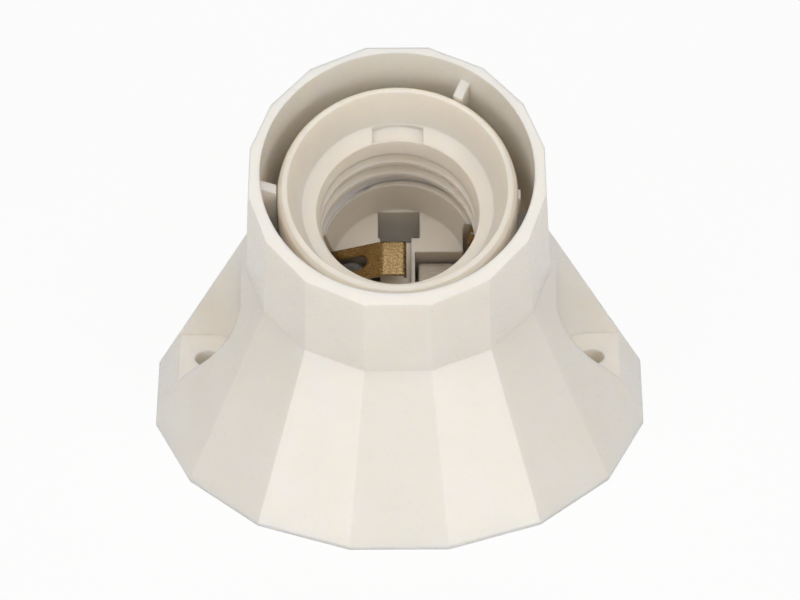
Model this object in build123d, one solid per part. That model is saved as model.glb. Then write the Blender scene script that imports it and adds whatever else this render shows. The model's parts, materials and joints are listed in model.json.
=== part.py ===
"""Slanted wall lamp holder for an Edison screw (E27) lamp, in millimetres.

The back of the foot lies on z = 0 and the wall is below it. The collar leans towards -Y.
Pieces inside the collar are drawn in the rim frame: its origin is the centre of the rim,
its Z runs out along the lamp's axis, its X is the part's X, and depths below the rim are -Z.
"""
import os
from math import atan2, cos, degrees, radians, sin, tan

from build123d import *

# Foot and cone of the housing
facet_count = 16
foot_radius = 40.0
foot_lip = 0.6
foot_wall = 2.8
cone_slope = 61.7
cone_height = 31.4

# Leaning collar of the housing
lean = 24.5
collar_height = 21.8
collar_rim_radius = 23.45
collar_rim_swell = 0.6
collar_root_radius = 24.1
collar_root_front = 2.75
collar_root_back = 1.5
collar_wall = 2.2
bore_radius = 21.4

# Ledge at the bottom of the collar's bore, and the ribs that stand on it
ledge_depth = 24.5
ledge_thickness = 2.5
ledge_width = 3.6
rib_count = 3
rib_thickness = 1.6
rib_top_depth = 3.9
rib_lead = 1.6
rib_first_angle = 60.0
rib_root = 0.4

# Pockets for the two screws into the wall
fixing_spacing = 62.0
fixing_hole_radius = 2.0
fixing_boss_radius = 4.2
pocket_width = 12.4
pocket_end = 6.0
pocket_corner = 5.6
pocket_wall = 2.2
shelf_height = 7.5
shelf_thickness = 2.6

# Edison thread of the lamp
thread_pitch = 3.629
thread_minor_radius = 12.25
thread_depth = 1.1
thread_groove_radius = 1.3
thread_groove_sides = 8
thread_top_depth = 15.5
thread_run_out = 3.45

# Threaded ring: a dish inside a skirt, with the threaded tube below its mouth
ring_skirt_radius = 18.9
ring_crest_depth = 5.1
ring_nose = (1.6, 2.2)
ring_skirt_wall = 1.6
ring_dish_width = 2.25
ring_dish_height = 1.8
ring_mouth_depth = 13.0
ring_mouth_chamfer = 0.6
ring_tube_wall = 1.65
ring_roof = 2.0
ring_notch_width = 8.0
ring_notch_step = 0.45
ring_notch_lip = 0.2
ring_nub_length = 5.0
ring_nub_width = 1.6
ring_nub_height = 0.35
ring_boss_radius = 2.3

# Contact base: a cup that shows through the ring, on a block behind the ledge
cup_rise = 1.2
cup_mouth_radius = 12.0
cup_floor_radius = 10.8
cup_floor_depth = 31.7
base_block_radius = 20.0
base_floor = 2.5
terminal_floor_depth = 41.5
wire_window_width = 6.7
wire_window_length = 4.8
wire_window_front = 5.5
pad_step = 1.5
pad_front = -8.0
pad_right = 2.0
ridge = 0.6
quarter_front = 3.0
wire_entry_radius = 2.0

# Brass centre contact, a strip folded into a hairpin
strip = 0.5
leaf_width = 6.0
leaf_tip_depth = 27.6
leaf_tip_end = 1.0
leaf_bend = -2.5
leaf_rise = 22.6
leaf_turn = -14.9
leaf_hem = 0.9
leaf_fold_radius = 1.4
leaf_bend_radius = 1.0
leaf_hem_radius = 0.4
leaf_slot_width = 2.6
leaf_slot = (-11.4, -5.0)

# Brass side contact, a foot under its terminal and a blade that stands in a slot of the cup
blade_width = 2.2
blade_centre = 4.0
blade_reach = 11.9
blade_top_depth = 27.0
blade_bulge = 0.6
slot_room = 0.3

# Terminal blocks and their screws
side_block = (7.0, 11.0)
side_block_depth = 34.5
side_screw_front = 7.5
centre_block = (6.4, 6.0)
centre_block_depth = 36.0
terminal_screw_radius = 1.5
terminal_screw_reach = 4.6
terminal_head_radius = 2.6
terminal_head_height = 1.8
driver_slot = (0.7, 0.9)
wire_hole_radius = 1.35

# Screws that pull the threaded ring and the contact base together on the ledge
insert_pitch_radius = 15.4
insert_angle = 100.0
insert_screw_radius = 1.25
insert_screw_length = 14.0
insert_head_radius = 2.6
insert_head_height = 1.7
insert_seat_depth = 34.0
insert_recess = (0.8, 3.2, 0.9)

# Clearances
rib_clearance = 0.05
screw_clearance = 0.05
hole_clearance = 0.3
block_clearance = 0.5
past = 1.0

# Sizes that follow from those above
thread_major_radius = thread_minor_radius + thread_depth
ring_mouth_radius = thread_minor_radius + ring_mouth_chamfer
ring_dish_radius = ring_mouth_radius + ring_dish_width
ring_dish_depth = ring_mouth_depth - ring_dish_height
ring_tube_radius = thread_major_radius + ring_tube_wall
ledge_opening = bore_radius - ledge_width
ledge_bottom = ledge_depth + ledge_thickness
cup_top_depth = ledge_bottom - cup_rise
cup_radius = ledge_opening - hole_clearance
base_bottom = terminal_floor_depth + base_floor
ring_tube_depth = cup_top_depth - screw_clearance
pocket_left = pad_right + ridge

axis = Vector(0, -sin(radians(lean)), cos(radians(lean)))
rim = Plane(
    origin=(0, collar_height * axis.Y, cone_height + collar_height * axis.Z),
    x_dir=(1, 0, 0),
    z_dir=axis,
)


def cylinder(radius, top_depth, bottom_depth, x=0.0, y=0.0):
    """A cylinder of the rim frame between two depths."""
    middle = -(top_depth + bottom_depth) / 2
    return Pos(x, y, middle) * Cylinder(radius, bottom_depth - top_depth)


def block(x_range, y_range, top_depth, bottom_depth):
    """A box of the rim frame between two depths."""
    x_low, x_high = x_range
    y_low, y_high = y_range
    middle = Pos((x_low + x_high) / 2, (y_low + y_high) / 2, -(top_depth + bottom_depth) / 2)
    return middle * Box(x_high - x_low, y_high - y_low, bottom_depth - top_depth)


def insert_screw_place(k):
    """Where the first or the second insert screw stands in the rim frame."""
    angle = radians(insert_angle + 180 * k)
    return insert_pitch_radius * cos(angle), insert_pitch_radius * sin(angle)


# Housing
corner_angles = [radians((k + 0.5) * 360 / facet_count) for k in range(facet_count)]


def foot_outline(radius, height):
    """The foot's polygon, parallel to the wall."""
    return Wire.make_polygon([(radius * sin(a), -radius * cos(a), height) for a in corner_angles])


def cone_radius(height):
    """The cone's radius at its corners, at a height above the wall."""
    return foot_radius - (height - foot_lip) / tan(radians(cone_slope))


def rim_corner(a):
    """The rim's corner above one of the foot's: it stands off the bore more at the front than at the back."""
    b = atan2(sin(a), cos(a) * axis.Z)
    radius = collar_rim_radius + collar_rim_swell * cos(b)
    return rim.from_local_coords(Vector(radius * sin(b), -radius * cos(b), 0))


def root_corner(a):
    """Where the cone's corner line meets the outside of the collar, found by halving."""
    low, high = shelf_height, cone_height + collar_height
    for _ in range(30):
        height = (low + high) / 2
        radius = cone_radius(height)
        point = Vector(radius * sin(a), -radius * cos(a), height)
        local = rim.to_local_coords(point)
        swell = -local.Y * (collar_root_front if local.Y < 0 else collar_root_back)
        reach = Vector(local.X, local.Y).length
        if reach > collar_root_radius + swell / reach:
            low = height
        else:
            high = height
    return point


def pocket_outline(height, margin, slant):
    """A slot about the wall screw at +X that runs out through the side of the foot."""
    near = -pocket_width / 2 - margin - slant
    far = pocket_width / 2 + margin
    end = fixing_spacing / 2 - pocket_end - margin
    corner = pocket_corner + margin
    outline = [
        Polyline((end + corner, far), (foot_radius, far), (foot_radius, near), (end + corner, near)),
        CenterArc((end + corner, near + corner), corner, 180, 90),
        Line((end, near + corner), (end, far - corner)),
        CenterArc((end + corner, far - corner), corner, 90, 90),
    ]
    return Pos(0, 0, height) * make_face(outline)


def fixing_pocket(floor, margin):
    """The pocket from its floor up: the near wall leans with the lamp's axis, the far one is upright."""
    top = floor + cone_height
    slant = cone_height * tan(radians(lean))
    return loft([pocket_outline(floor, margin, 0), pocket_outline(top, margin, slant)], ruled=True)


def make_housing():
    outside = Solid.make_loft(
        [
            foot_outline(foot_radius, 0),
            foot_outline(foot_radius, foot_lip),
            Wire.make_polygon([root_corner(a) for a in corner_angles]),
            Wire.make_polygon([rim_corner(a) for a in corner_angles]),
        ],
        ruled=True,
    )
    inner_foot = foot_outline(cone_radius(-past) - foot_wall, -past)
    inner_top = foot_outline(cone_radius(cone_height) - foot_wall, cone_height)
    hollow = Part() + Solid.make_loft([inner_foot, inner_top], ruled=True)
    hollow -= rim * cylinder(bore_radius + collar_wall, -foot_radius, ledge_bottom)
    hollow += rim * cylinder(base_block_radius + block_clearance, ledge_bottom, 2 * foot_radius)

    screw_post = Pos(fixing_spacing / 2, 0, shelf_height / 2)
    lining = fixing_pocket(shelf_height - shelf_thickness, pocket_wall)
    lining += screw_post * Cylinder(fixing_boss_radius, shelf_height)
    pocket = fixing_pocket(shelf_height, 0)
    pocket += screw_post * Cylinder(fixing_hole_radius, shelf_height + 2 * past)
    hollow -= [lining, mirror(lining, Plane.YZ)]
    shell = Part() + outside - hollow - [pocket, mirror(pocket, Plane.YZ)]

    shell -= rim * cylinder(bore_radius, -past, ledge_depth)
    shell -= rim * cylinder(ledge_opening, -past, ledge_bottom + past)
    rib_inner = ring_skirt_radius + rib_clearance
    rib_outer = bore_radius + rib_root
    rib_side = Polyline(
        (rib_inner, -rib_top_depth - rib_lead),
        (bore_radius, -rib_top_depth),
        (rib_outer, -rib_top_depth),
        (rib_outer, -ledge_depth),
        (rib_inner, -ledge_depth),
        close=True,
    )
    rib = extrude(Plane.XZ * make_face(rib_side), rib_thickness / 2, both=True)
    for k in range(rib_count):
        shell += rim * Rot(0, 0, rib_first_angle + k * 360 / rib_count) * rib
    return shell


# Threaded ring
def make_thread_groove():
    """The helical groove of the lamp's thread, which runs out below the tube."""
    start_depth = ring_tube_depth + thread_run_out
    path_radius = thread_major_radius - thread_groove_radius
    path = Pos(0, 0, -start_depth) * Helix(thread_pitch, start_depth - thread_top_depth, path_radius)
    half_side = 180 / thread_groove_sides
    section = RegularPolygon(thread_groove_radius, thread_groove_sides, major_radius=False, rotation=half_side)
    return sweep(Plane(origin=path @ 0, x_dir=(1, 0, 0), z_dir=path % 0) * section, path=path, is_frenet=True)


def make_thread_ring():
    skirt_inner = ring_skirt_radius - ring_skirt_wall
    nose_width, nose_height = ring_nose
    crest = (ring_skirt_radius - nose_width, -ring_crest_depth)
    edge = (ring_skirt_radius, -ring_crest_depth - nose_height)
    nose = []
    for t in (30, 60):
        nose.append((crest[0] + nose_width * cos(radians(t)), edge[1] + nose_height * sin(radians(t))))
    dish = (ring_dish_radius, -ring_dish_depth)
    mouth = (ring_mouth_radius, -ring_mouth_depth)
    outline = Polyline(
        edge,
        *nose,
        crest,
        dish,
        mouth,
        (thread_minor_radius, -ring_mouth_depth - ring_mouth_chamfer),
        (thread_minor_radius, -ring_tube_depth),
        (ring_tube_radius, -ring_tube_depth),
        (ring_tube_radius, -ring_dish_depth - ring_roof),
        (skirt_inner, edge[1] - ring_roof),
        (skirt_inner, -ledge_depth),
        (ring_skirt_radius, -ledge_depth),
        close=True,
    )
    ring = revolve(Plane.XZ * make_face(outline), Axis.Z)

    room_for_lamp = cylinder(thread_major_radius, 0, cup_top_depth)
    pilot_top = insert_seat_depth - insert_screw_length - hole_clearance
    nub_x = (ring_skirt_radius - ring_nub_height, ring_skirt_radius + ring_nub_height)
    nub_y = (-ring_nub_width / 2, ring_nub_width / 2)
    ring += block(nub_x, nub_y, -edge[1], ring_nub_length - edge[1])
    for k in range(2):
        x, y = insert_screw_place(k)
        boss = cylinder(ring_boss_radius, ring_dish_depth + ring_roof, cup_top_depth, x, y)
        ring += (boss & cylinder(cup_radius, 0, cup_top_depth)) - room_for_lamp
        ring -= cylinder(insert_screw_radius + screw_clearance, pilot_top, cup_top_depth, x, y)

    slope = atan2(ring_dish_height, ring_dish_width)
    notch_length = ring_dish_width / cos(slope) + 2 * past
    notch_middle = Pos(0, ring_mouth_radius + ring_dish_width / 2, -ring_mouth_depth + ring_dish_height / 2)
    notch = notch_middle * Rot(degrees(slope), 0, 0) * Box(ring_notch_width, notch_length, 2 * ring_notch_step)
    notch &= cylinder(ring_dish_radius - ring_notch_lip, 0, cup_top_depth)
    ring -= notch - cylinder(ring_mouth_radius + ring_notch_lip, 0, cup_top_depth)
    return ring - make_thread_groove()


# Contact base
side_block_left = pocket_left + block_clearance
side_block_right = side_block_left + side_block[0]
side_block_back = quarter_front - block_clearance
side_block_front = side_block_back - side_block[1]
side_screw_x = side_block_left + side_block[0] / 2
side_screw_y = side_block_back - side_screw_front
side_wire_depth = side_block_depth + terminal_screw_reach

centre_block_right = leaf_slot[1] + block_clearance
centre_block_left = centre_block_right - centre_block[0]
centre_screw_x = (centre_block_left + centre_block_right) / 2
centre_seat_depth = centre_block_depth - strip
centre_wire_depth = centre_seat_depth + terminal_screw_reach
leaf_pocket_left = leaf_turn - strip / 2 - block_clearance
leaf_pocket_right = leaf_bend - block_clearance
leaf_centre = quarter_front - hole_clearance - leaf_width / 2
leaf_front = leaf_centre - leaf_width / 2
blade_front = blade_centre - blade_width / 2
blade_back = blade_centre + blade_width / 2


def make_contact_base():
    base = cylinder(base_block_radius, ledge_bottom, base_bottom)
    base += cylinder(cup_radius, cup_top_depth, ledge_bottom)
    cup_height = cup_floor_depth - cup_top_depth
    cup = Cone(cup_floor_radius, cup_mouth_radius, cup_height)
    base -= Pos(0, 0, -(cup_floor_depth + cup_top_depth) / 2) * cup

    window_x = (-wire_window_width / 2, wire_window_width / 2)
    window_y = (wire_window_front, wire_window_front + wire_window_length)
    base -= block(window_x, window_y, cup_floor_depth - past, base_bottom + past)
    pad_x = (leaf_pocket_right, pad_right)
    base -= block(pad_x, (pad_front, wire_window_front), cup_floor_depth - past, cup_floor_depth + pad_step)

    leaf_pocket_x = (leaf_pocket_left, leaf_pocket_right)
    leaf_pocket_y = (leaf_front - block_clearance, quarter_front)
    base -= block(leaf_pocket_x, leaf_pocket_y, 0, terminal_floor_depth)
    centre_entry_y = leaf_centre - centre_block[1] / 2 - wire_entry_radius
    base -= block(
        (centre_screw_x - wire_entry_radius, centre_screw_x + wire_entry_radius),
        (centre_entry_y, leaf_centre),
        0,
        centre_wire_depth + wire_entry_radius,
    )
    base -= cylinder(wire_entry_radius, 0, base_bottom + past, centre_screw_x, centre_entry_y)

    side_pocket_right = blade_reach + strip / 2 + slot_room
    base -= block(
        (pocket_left, side_pocket_right),
        (side_block_front - block_clearance, quarter_front),
        0,
        terminal_floor_depth,
    )
    side_entry_x = side_block_right + wire_entry_radius
    base -= cylinder(wire_entry_radius, 0, base_bottom + past, side_entry_x, side_screw_y)

    slot_half = blade_width / 2 + slot_room
    slot_x = (cup_floor_radius - block_clearance, side_pocket_right)
    slot_y = (blade_centre - slot_half, blade_centre + slot_half)
    slot_arch = Pos(sum(slot_x) / 2, blade_centre, -blade_top_depth) * Rot(0, 90, 0)
    base -= block(slot_x, slot_y, blade_top_depth, terminal_floor_depth)
    base -= slot_arch * Cylinder(slot_half, slot_x[1] - slot_x[0])

    for k in range(2):
        x, y = insert_screw_place(k)
        base -= cylinder(insert_screw_radius + hole_clearance, 0, base_bottom, x, y)
        base -= cylinder(insert_head_radius + hole_clearance, insert_seat_depth, base_bottom + past, x, y)
    return base


# Brass contacts
def make_centre_contact():
    tip = -leaf_tip_depth - strip / 2
    seat = -centre_block_depth + strip / 2
    rise = (leaf_bend - leaf_turn) * tan(radians(leaf_rise))
    path = FilletPolyline(
        (centre_block_right, seat),
        (leaf_turn, seat),
        (leaf_turn, tip - rise),
        (leaf_bend, tip),
        (leaf_tip_end, tip),
        (leaf_tip_end, tip - leaf_hem),
        radius=[leaf_fold_radius, leaf_fold_radius, leaf_bend_radius, leaf_hem_radius],
    )
    leaf = extrude(Plane.XZ * trace(path, strip), amount=leaf_width / 2, both=True)
    leaf = Pos(0, leaf_centre, 0) * leaf
    slot_start, slot_end = leaf_slot
    access = SlotOverall(slot_end - slot_start, leaf_slot_width)
    access_floor = Pos((slot_start + slot_end) / 2, leaf_centre, -centre_seat_depth + terminal_head_height / 2)
    leaf -= access_floor * extrude(access, amount=centre_seat_depth)
    screw_hole_radius = terminal_screw_radius + hole_clearance
    return leaf - cylinder(screw_hole_radius, centre_seat_depth - strip, base_bottom, centre_screw_x, leaf_centre)


def make_side_contact():
    blade_outer = blade_reach + strip / 2
    foot_top = terminal_floor_depth - strip
    heel_x = (blade_reach - blade_width / 2, blade_outer)
    foot_y = (side_block_back - blade_width * 2, blade_front)
    contact = block((side_block_left, blade_outer), foot_y, foot_top, terminal_floor_depth)
    contact += block(heel_x, (foot_y[0], blade_back), foot_top, terminal_floor_depth)
    blade = Polyline(
        (blade_reach, -terminal_floor_depth),
        (blade_reach, -cup_floor_depth),
        (blade_reach - blade_bulge, -(cup_floor_depth + blade_top_depth) / 2),
        (blade_reach, -blade_top_depth),
    )
    standing = extrude(trace(blade, strip), amount=-blade_width)
    return contact + Pos(0, blade_front, 0) * (Plane.XZ * standing)


# Terminals and their screws
def make_side_terminal():
    x_range = (side_block_left, side_block_right)
    y_range = (side_block_front, side_block_back)
    terminal = block(x_range, y_range, side_block_depth, terminal_floor_depth - strip)
    hole_radius = terminal_screw_radius + screw_clearance
    terminal -= cylinder(hole_radius, 0, side_wire_depth, side_screw_x, side_screw_y)
    wire_hole = Rot(0, 90, 0) * Cylinder(wire_hole_radius, side_block[0] + 2 * past)
    return terminal - Pos(side_screw_x, side_screw_y, -side_wire_depth) * wire_hole


def make_centre_terminal():
    x_range = (centre_block_left, centre_block_right)
    y_range = (leaf_centre - centre_block[1] / 2, leaf_centre + centre_block[1] / 2)
    terminal = block(x_range, y_range, centre_block_depth, terminal_floor_depth)
    hole_radius = terminal_screw_radius + screw_clearance
    terminal -= cylinder(hole_radius, 0, centre_wire_depth, centre_screw_x, leaf_centre)
    wire_hole = Rot(90, 0, 0) * Cylinder(wire_hole_radius, centre_block[1] + 2 * past)
    return terminal - Pos(centre_screw_x, leaf_centre, -centre_wire_depth) * wire_hole


def make_terminal_screw(x, y, seat_depth):
    head_top = seat_depth - terminal_head_height
    slot_width, slot_depth = driver_slot
    screw = cylinder(terminal_head_radius, head_top, seat_depth, x, y)
    screw += cylinder(terminal_screw_radius, seat_depth, seat_depth + terminal_screw_reach, x, y)
    slot_x = (x - terminal_head_radius, x + terminal_head_radius)
    slot_y = (y - slot_width / 2, y + slot_width / 2)
    return screw - block(slot_x, slot_y, head_top, head_top + slot_depth)


def make_insert_screws():
    recess_width, recess_length, recess_depth = insert_recess
    head_bottom = insert_seat_depth + insert_head_height
    screws = Part()
    for k in range(2):
        x, y = insert_screw_place(k)
        screw = cylinder(insert_screw_radius, insert_seat_depth - insert_screw_length, insert_seat_depth, x, y)
        screw += cylinder(insert_head_radius, insert_seat_depth, head_bottom, x, y)
        recess = Box(recess_length, recess_width, 2 * recess_depth)
        recess += Box(recess_width, recess_length, 2 * recess_depth)
        screws += screw - Pos(x, y, -head_bottom) * recess
    return screws


pieces = {
    "housing": make_housing(),
    "thread_ring": rim * make_thread_ring(),
    "contact_base": rim * make_contact_base(),
    "centre_contact": rim * make_centre_contact(),
    "side_contact": rim * make_side_contact(),
    "centre_terminal": rim * make_centre_terminal(),
    "side_terminal": rim * make_side_terminal(),
    "centre_terminal_screw": rim * make_terminal_screw(centre_screw_x, leaf_centre, centre_seat_depth),
    "side_terminal_screw": rim * make_terminal_screw(side_screw_x, side_screw_y, side_block_depth),
    "insert_screws": rim * make_insert_screws(),
}

os.makedirs("parts", exist_ok=True)
for name, piece in pieces.items():
    export_step(piece, f"parts/{name}.step")
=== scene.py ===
"""Slanted wall lamp holder in cream plastic, dressed for a render, in metres."""
import json
from math import cos, radians, sin, sqrt

import bpy
from mathutils import Matrix, Vector


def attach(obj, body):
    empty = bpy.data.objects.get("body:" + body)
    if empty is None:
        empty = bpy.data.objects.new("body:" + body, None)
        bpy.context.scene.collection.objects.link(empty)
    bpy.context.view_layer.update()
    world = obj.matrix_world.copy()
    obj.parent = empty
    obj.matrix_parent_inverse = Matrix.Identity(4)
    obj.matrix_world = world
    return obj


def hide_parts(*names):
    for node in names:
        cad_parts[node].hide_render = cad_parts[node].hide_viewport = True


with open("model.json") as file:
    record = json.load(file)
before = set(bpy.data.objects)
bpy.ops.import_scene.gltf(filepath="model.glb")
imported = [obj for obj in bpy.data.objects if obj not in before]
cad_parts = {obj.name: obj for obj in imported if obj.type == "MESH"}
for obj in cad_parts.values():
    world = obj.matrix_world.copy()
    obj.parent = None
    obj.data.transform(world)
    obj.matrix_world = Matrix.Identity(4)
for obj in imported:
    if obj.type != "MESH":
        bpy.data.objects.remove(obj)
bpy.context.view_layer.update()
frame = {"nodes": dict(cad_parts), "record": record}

# Housing
# One injection moulding: a sixteen-sided foot, a faceted cone and a collar that leans with the lamp.
# The plastic is a cream ABS with a satin skin; two wall screws through its side pockets hold it.
mm = 0.001

# Most of a noise pattern's values lie between these two.
noise_low = 0.3
noise_high = 0.7


def linear(hex_colour):
    """An sRGB hex colour as a linear RGBA value."""
    channels = [int(hex_colour[k:k + 2], 16) / 255 for k in (1, 3, 5)]
    return [c / 12.92 if c <= 0.04045 else ((c + 0.055) / 1.055) ** 2.4 for c in channels] + [1.0]


def add_node(tree, kind, values=None, links=None, stops=(), **settings):
    """Adds one shader node with its settings, a ramp's stops, its sockets' values and the links into it."""
    new = tree.nodes.new(kind)
    for name, value in settings.items():
        setattr(new, name, value)
    for k, (position, hex_colour) in enumerate(stops):
        new.color_ramp.elements[k].position = position
        new.color_ramp.elements[k].color = linear(hex_colour)
    for socket, value in (values or {}).items():
        new.inputs[socket].default_value = value
    for socket, source in (links or {}).items():
        tree.links.new(source, new.inputs[socket])
    return new


def new_material(name):
    """A material with an empty node tree and its output."""
    material = bpy.data.materials.new(name)
    material.use_nodes = True
    material.node_tree.nodes.clear()
    return material, material.node_tree, material.node_tree.nodes.new("ShaderNodeOutputMaterial")


def moulded_plastic(name, pale, deep, roughness):
    """Moulded plastic: faint flow marks, a fine bloom in the gloss, soft edges and light under its skin."""
    flow_width = 9.0
    # The real bloom is finer than the render's pixels, so it is drawn about two of them wide.
    bloom_width = 0.35
    bloom_depth = 0.02
    bloom_dulling = 0.03
    edge_radius = 0.4
    glow_share = 0.7
    glow_depth = 2.0
    glow_by_channel = (1.0, 0.85, 0.6)
    material, tree, output = new_material(name)
    place = add_node(tree, "ShaderNodeTexCoord")
    flow = add_node(
        tree,
        "ShaderNodeTexNoise",
        {"Scale": 1 / (flow_width * mm), "Detail": 3.0, "Roughness": 0.55},
        {"Vector": place.outputs["Object"]},
    )
    bloom = add_node(
        tree,
        "ShaderNodeTexNoise",
        {"Scale": 1 / (bloom_width * mm), "Detail": 2.0},
        {"Vector": place.outputs["Object"]},
    )
    colour = add_node(
        tree,
        "ShaderNodeValToRGB",
        links={"Fac": flow.outputs["Fac"]},
        stops=((noise_low, deep), (noise_high, pale)),
    )
    gloss = add_node(
        tree,
        "ShaderNodeMapRange",
        {
            "From Min": noise_low,
            "From Max": noise_high,
            "To Min": roughness - bloom_dulling,
            "To Max": roughness + bloom_dulling,
        },
        {"Value": bloom.outputs["Fac"]},
    )
    soft_edge = add_node(tree, "ShaderNodeBevel", {"Radius": edge_radius * mm}, samples=4)
    bump = add_node(
        tree,
        "ShaderNodeBump",
        {"Strength": 0.03, "Distance": bloom_depth * mm},
        {"Height": bloom.outputs["Fac"], "Normal": soft_edge.outputs["Normal"]},
    )
    shader = add_node(
        tree,
        "ShaderNodeBsdfPrincipled",
        {
            "IOR": 1.53,
            "Subsurface Weight": glow_share,
            "Subsurface Radius": glow_by_channel,
            "Subsurface Scale": glow_depth * mm,
        },
        {
            "Base Color": colour.outputs["Color"],
            "Roughness": gloss.outputs["Result"],
            "Normal": bump.outputs["Normal"],
        },
    )
    tree.links.new(shader.outputs["BSDF"], output.inputs["Surface"])
    return material


def dress(node, material):
    """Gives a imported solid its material."""
    frame["nodes"][node].material_slots[0].material = material


# Cream with a satin sheen, so that a facet which mirrors a lamp is brighter than its neighbours.
cream_abs = moulded_plastic("cream_abs_satin", pale="#F7F1E9", deep="#F4EDE3", roughness=0.30)
dress("housing", cream_abs)

# Thread ring
# A second ABS moulding, dropped into the collar onto its ledge between three ribs.
# Its dish funnels the lamp's cap into a threaded tube, whose lip is a short upright wall.
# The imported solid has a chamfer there, so a copy with the edge under it drawn out takes its place.
lip_step = 0.5 * mm
edge_reach = 0.03 * mm
lamp_thread = next(mount for mount in frame["record"]["mounts"] if mount["name"] == "lamp_thread")
lamp_axis = Vector(lamp_thread["axis"])
thread_middle = Vector(lamp_thread["pos_m"])
thread_radius = lamp_thread["dims"]["r_mm"] * mm
thread_top = lamp_thread["dims"]["length_mm"] / 2 * mm


def from_axis(point):
    """A point's height along the lamp's axis from the thread's middle, and its offset from the axis."""
    height = (point - thread_middle).dot(lamp_axis)
    return height, point - thread_middle - height * lamp_axis


# A warmer cream than the housing's, with a duller sheen.
ring_abs = moulded_plastic("ring_abs_satin", pale="#F8EFE3", deep="#F5EADD", roughness=0.40)
dress("thread_ring", ring_abs)
ring_mesh = frame["nodes"]["thread_ring"].data.copy()
ring_normals = [corner.vector.copy() for corner in ring_mesh.corner_normals]
drawn_out = set()
for vertex in ring_mesh.vertices:
    height, offset = from_axis(vertex.co)
    if abs(height - thread_top) < edge_reach and abs(offset.length - thread_radius) < edge_reach:
        vertex.co += offset.normalized() * lip_step
        drawn_out.add(vertex.index)
ring_mesh.update()
for face in ring_mesh.polygons:
    if drawn_out.intersection(face.vertices):
        tilt = face.normal.dot(lamp_axis)
        level = sqrt(max(0.0, 1 - tilt * tilt))
        for corner in face.loop_indices:
            vertex = ring_mesh.vertices[ring_mesh.loops[corner].vertex_index]
            inward = -from_axis(vertex.co)[1].normalized()
            ring_normals[corner] = (inward * level + lamp_axis * tilt).normalized()
ring_mesh.normals_split_custom_set(ring_normals)
ring = bpy.data.objects.new("thread_ring_lipped", ring_mesh)
bpy.context.scene.collection.objects.link(ring)
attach(ring, "holder")
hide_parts("thread_ring")

# Contact base
# The insulating cup under the ring, moulded in a stiffer polyester with glass filler.
# It bears against the ledge from behind, and has pockets for the terminals and a slot for the side contact.

# A greyer cream than the ring's, matt from the filler.
base_polyester = moulded_plastic("base_polyester_matt", pale="#E2DACD", deep="#DBD2C5", roughness=0.50)
dress("contact_base", base_polyester)

# Side contact
# A blade of rolled brass strip that touches the side of the lamp's cap.
# It stands in its slot of the contact base, and the side terminal holds its foot down.


def rolled_metal(name, pale, deep, roughness, streak_width, streak_length):
    """Bare metal with fine streaks along X in its colour and gloss, and edges worn soft."""
    edge_radius = 0.5
    streak_depth = 0.01
    streak_polish = 0.06
    streak_dulling = 0.08
    material, tree, output = new_material(name)
    place = add_node(tree, "ShaderNodeTexCoord")
    stretch = add_node(
        tree,
        "ShaderNodeMapping",
        {"Scale": (1 / (streak_length * mm), 1 / (streak_width * mm), 1 / (streak_width * mm))},
        {"Vector": place.outputs["Object"]},
    )
    streaks = add_node(
        tree,
        "ShaderNodeTexNoise",
        {"Scale": 1.0, "Detail": 4.0},
        {"Vector": stretch.outputs["Vector"]},
    )
    colour = add_node(
        tree,
        "ShaderNodeValToRGB",
        links={"Fac": streaks.outputs["Fac"]},
        stops=((noise_low, deep), (noise_high, pale)),
    )
    gloss = add_node(
        tree,
        "ShaderNodeMapRange",
        {
            "From Min": noise_low,
            "From Max": noise_high,
            "To Min": roughness - streak_polish,
            "To Max": roughness + streak_dulling,
        },
        {"Value": streaks.outputs["Fac"]},
    )
    soft_edge = add_node(tree, "ShaderNodeBevel", {"Radius": edge_radius * mm}, samples=6)
    bump = add_node(
        tree,
        "ShaderNodeBump",
        {"Strength": 0.15, "Distance": streak_depth * mm},
        {"Height": streaks.outputs["Fac"], "Normal": soft_edge.outputs["Normal"]},
    )
    shader = add_node(
        tree,
        "ShaderNodeBsdfPrincipled",
        {"Metallic": 1.0},
        {
            "Base Color": colour.outputs["Color"],
            "Roughness": gloss.outputs["Result"],
            "Normal": bump.outputs["Normal"],
        },
    )
    tree.links.new(shader.outputs["BSDF"], output.inputs["Surface"])
    return material


# Brown brass with fine streaks.
# Real rolling lines are finer than the render's pixels, so they are drawn about one of them wide.
brass_strip = rolled_metal(
    "brass_strip_rolled",
    pale="#B8935A",
    deep="#8F6B3A",
    roughness=0.32,
    streak_width=0.12,
    streak_length=2.0,
)
dress("side_contact", brass_strip)

# Centre contact
# A longer brass strip, folded into a hairpin, whose upper leaf springs against the lamp's tip.
# The centre terminal's screw holds its lower arm, and the leaf's level end is stamped with a grain.
tip_start = -2.5
tip_blend = 0.35
grain_width = 0.28
grain_depth = 0.06

# Olive-gold brass, streaked along the leaf and speckled on its stamped tip.
stamped_brass = rolled_metal(
    "brass_strip_stamped_tip",
    pale="#B29766",
    deep="#8F744C",
    roughness=0.27,
    streak_width=0.12,
    streak_length=2.0,
)
tree = stamped_brass.node_tree
shader = tree.nodes["Principled BSDF"]
place = add_node(tree, "ShaderNodeTexCoord")
along = add_node(tree, "ShaderNodeSeparateXYZ", links={"Vector": place.outputs["Object"]})
at_tip = add_node(
    tree,
    "ShaderNodeMapRange",
    {"From Min": (tip_start - tip_blend) * mm, "From Max": (tip_start + tip_blend) * mm},
    {"Value": along.outputs["X"]},
)
grain = add_node(
    tree,
    "ShaderNodeTexVoronoi",
    {"Scale": 1 / (grain_width * mm), "Randomness": 1.0},
    {"Vector": place.outputs["Object"]},
)
grain_height = add_node(
    tree,
    "ShaderNodeMath",
    links={0: grain.outputs["Distance"], 1: at_tip.outputs["Result"]},
    operation="MULTIPLY",
)
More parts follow.
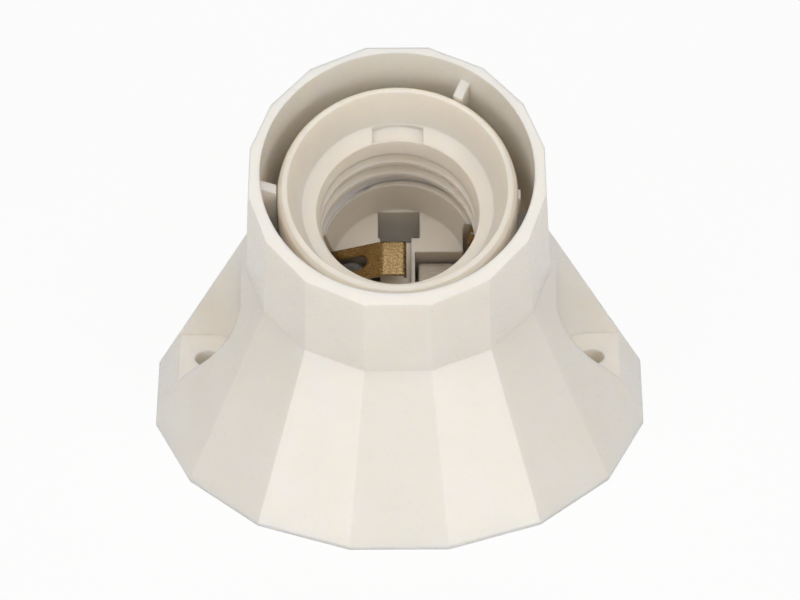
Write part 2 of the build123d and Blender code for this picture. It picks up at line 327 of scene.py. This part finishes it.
grain_bump = add_node(
    tree,
    "ShaderNodeBump",
    {"Strength": 0.6, "Distance": grain_depth * mm},
    {"Height": grain_height.outputs["Value"], "Normal": shader.inputs["Normal"].links[0].from_socket},
)
grain_colour = add_node(
    tree,
    "ShaderNodeValToRGB",
    links={"Fac": grain.outputs["Distance"]},
    stops=((0.05, "#B49D70"), (0.6, "#7C6645")),
)
# A mix node's colour sockets share their names with its number sockets, so they go by their places.
mix_share = 0
mix_strip = 6
mix_tip = 7
mix_result = 2
tip_colour = add_node(
    tree,
    "ShaderNodeMix",
    links={
        mix_share: at_tip.outputs["Result"],
        mix_strip: shader.inputs["Base Color"].links[0].from_socket,
        mix_tip: grain_colour.outputs["Color"],
    },
    data_type="RGBA",
)
tree.links.new(grain_bump.outputs["Normal"], shader.inputs["Normal"])
tree.links.new(tip_colour.outputs[mix_result], shader.inputs["Base Color"])
dress("centre_contact", stamped_brass)

# Terminals
# Two blocks sawn from drawn brass bar and nickel plated, each with a wire hole under its screw.
# They sit in pockets of the contact base, one under the centre contact and one on the side contact's foot.

# Dull warm grey with drawing marks.
nickel_bar = rolled_metal(
    "nickel_plated_bar",
    pale="#B4AA9C",
    deep="#9C9184",
    roughness=0.45,
    streak_width=0.2,
    streak_length=1.5,
)
for terminal in ("centre_terminal", "side_terminal"):
    dress(terminal, nickel_bar)

# Screws
# Two slotted screws, one in each terminal, and two cross-recessed ones, all in zinc-plated steel.
# The cross-recessed ones go in from behind and pull the ring and the contact base together on the ledge.

# Cool grey with short marks. It is painted darker than bare zinc plating, as painted shade for the screws
# that sit deep in the holder.
zinc_steel_painted_shade = rolled_metal(
    "zinc_plated_steel_painted_shade",
    pale="#8F8E8B",
    deep="#6C6B69",
    roughness=0.42,
    streak_width=0.15,
    streak_length=0.4,
)
for screw in ("centre_terminal_screw", "side_terminal_screw", "insert_screws"):
    dress(screw, zinc_steel_painted_shade)

# Floor
# A wide sheet of white paper that the holder lies on, a hair below its foot so that the two don't flicker.
# It shows nearly white to the camera and in reflections, and still takes the holder's shadow.
floor_half = 3.0
floor_gap = 0.05 * mm
white_share = 0.92
floor_corners = []
for x, y in ((-1, -1), (1, -1), (1, 1), (-1, 1)):
    floor_corners.append((x * floor_half, y * floor_half, -floor_gap))
floor_mesh = bpy.data.meshes.new("floor")
floor_mesh.from_pydata(floor_corners, [], [(0, 1, 2, 3)])
floor = bpy.data.objects.new("floor", floor_mesh)
bpy.context.scene.collection.objects.link(floor)

# Matt paper, an even white.
white_paper, tree, output = new_material("white_paper")
shown = add_node(tree, "ShaderNodeEmission", {"Color": linear("#FFFFFF"), "Strength": 1.0})
lit = add_node(tree, "ShaderNodeBsdfDiffuse", {"Color": linear("#F4F3F0")})
ray = add_node(tree, "ShaderNodeLightPath")
seen = add_node(
    tree,
    "ShaderNodeMath",
    links={0: ray.outputs["Is Camera Ray"], 1: ray.outputs["Is Glossy Ray"]},
    operation="MAXIMUM",
)
share = add_node(tree, "ShaderNodeMath", {1: white_share}, {0: seen.outputs["Value"]}, operation="MULTIPLY")
mixed = add_node(
    tree,
    "ShaderNodeMixShader",
    links={"Fac": share.outputs["Value"], 1: lit.outputs["BSDF"], 2: shown.outputs["Emission"]},
)
tree.links.new(mixed.outputs["Shader"], output.inputs["Surface"])
floor_mesh.materials.append(white_paper)

# Light
# A dim room that shows white to the camera, and seven soft boxes: in front, low and high at both sides,
# overhead and behind. The facets beside the front one mirror the low boxes to the camera.
room_strength = 0.06
lamp_distance = 0.95
lamp_aim = Vector((0, 0, 30 * mm))
world = bpy.data.worlds.new("white_room")
bpy.context.scene.world = world
world.use_nodes = True
tree = world.node_tree
tree.nodes.clear()
ray = add_node(tree, "ShaderNodeLightPath")
room_light = add_node(tree, "ShaderNodeBackground", {"Color": linear("#FFFDFA"), "Strength": room_strength})
room_white = add_node(tree, "ShaderNodeBackground", {"Color": linear("#FFFFFF"), "Strength": 1.0})
room = add_node(
    tree,
    "ShaderNodeMixShader",
    links={
        "Fac": ray.outputs["Is Camera Ray"],
        1: room_light.outputs["Background"],
        2: room_white.outputs["Background"],
    },
)
add_node(tree, "ShaderNodeOutputWorld", links={"Surface": room.outputs["Shader"]})


def direction(turn, height):
    """The way from the holder to a place, by degrees round from its front and degrees up."""
    level = cos(radians(height))
    return Vector((level * sin(radians(turn)), -level * cos(radians(turn)), sin(radians(height))))


def soft_box(name, turn, height, width, watts):
    """A square soft lamp that faces the holder."""
    lamp = bpy.data.lights.new(name, "AREA")
    lamp.size = width
    lamp.energy = watts
    way = direction(turn, height)
    stand = bpy.data.objects.new(name, lamp)
    stand.location = lamp_aim + lamp_distance * way
    stand.rotation_euler = way.to_track_quat("Z", "Y").to_euler()
    bpy.context.scene.collection.objects.link(stand)


soft_box("soft_box_front", turn=0, height=46, width=0.5, watts=1.75)
soft_box("soft_box_low_left", turn=-41, height=15, width=0.4, watts=1.5)
soft_box("soft_box_low_right", turn=41, height=15, width=0.4, watts=1.55)
soft_box("soft_box_high_left", turn=-50, height=58, width=0.4, watts=1.55)
soft_box("soft_box_high_right", turn=50, height=58, width=0.4, watts=1.55)
soft_box("soft_box_overhead", turn=0, height=90, width=0.5, watts=1.5)
soft_box("soft_box_behind", turn=180, height=45, width=0.5, watts=1.1)

# Camera
# A long lens from the front and above, at the angle and distance that the facet corners give.
# The aim is moved by a few pixels to put the holder where the photograph has it.
sight_height = 37.48
sight_turn = 0.47
sight_roll = -0.53
sight_distance = 900 * mm
picture_width = 800
pixels_per_mm = 6.25
pixels_right = 1.13
pixels_down = 4.19
sensor_width = 36.0
target = Vector((0, 0, 20 * mm))
back = direction(sight_turn, sight_height)
eye = target + sight_distance * back
right = Vector((0, 0, 1)).cross(back).normalized()
up = back.cross(right)
aim = target + (right * pixels_right - up * pixels_down) / pixels_per_mm * mm
lens = bpy.data.cameras.new("camera")
lens.sensor_width = sensor_width
lens.lens = pixels_per_mm * sight_distance / mm / picture_width * sensor_width
camera = bpy.data.objects.new("camera", lens)
facing = (aim - eye).to_track_quat("-Z", "Y").to_matrix().to_4x4()
roll = Matrix.Rotation(radians(sight_roll), 4, "Z")
camera.matrix_world = Matrix.Translation(eye) @ facing @ roll
bpy.context.scene.collection.objects.link(camera)
bpy.context.scene.camera = camera

bpy.context.scene.view_settings.view_transform = "Standard"
